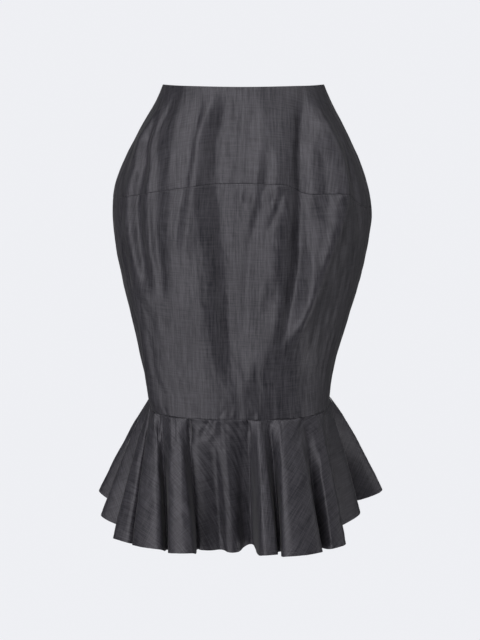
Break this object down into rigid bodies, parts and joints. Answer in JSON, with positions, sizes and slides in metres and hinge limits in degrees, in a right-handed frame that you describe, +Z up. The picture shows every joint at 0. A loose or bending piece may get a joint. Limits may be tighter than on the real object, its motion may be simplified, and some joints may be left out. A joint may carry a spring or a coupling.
{
  "type": "midi skirt",
  "caption": "Dark charcoal midi skirt with a flared hip yoke, a tapered lower skirt and a deep circular flounce below the knee seam.",
  "frame": {"origin": "middle of the waist opening, level with the tops of the side seams, where the skirt is held", "axes": "+Z up through the waist opening, -Y the way the wearer faces, +X the wearer's left"},
  "size_m": [0.4517, 0.3923, 0.6789],
  "materials": {
    "charcoal_cloth": "woven suiting in dark charcoal grey with fine slubs along the warp and a soft silky sheen",
    "tape_cloth": "matt woven zip tape",
    "dark_metal": "dark lacquered zip metal, satin"
  },
  "bodies": {
    "skirt": {"yoke_front": "charcoal_cloth", "yoke_back_left": "charcoal_cloth", "yoke_back_right": "charcoal_cloth", "skirt_front": "charcoal_cloth", "skirt_back_left": "charcoal_cloth", "skirt_back_right": "charcoal_cloth", "flounce_front": "charcoal_cloth", "flounce_back": "charcoal_cloth", "zip_tape": "tape_cloth", "zip_slider": "dark_metal"},
    "pull_tab": {"pull_tab": "dark_metal"}
  },
  "joints": [
    {"name": "pull_tab_hinge", "type": "hinge", "parent": "skirt", "child": "pull_tab", "pos_m": [0, 0.10077, -0.01326], "axis": [1, 0, 0], "range_deg": [0, 170]}
  ]
}
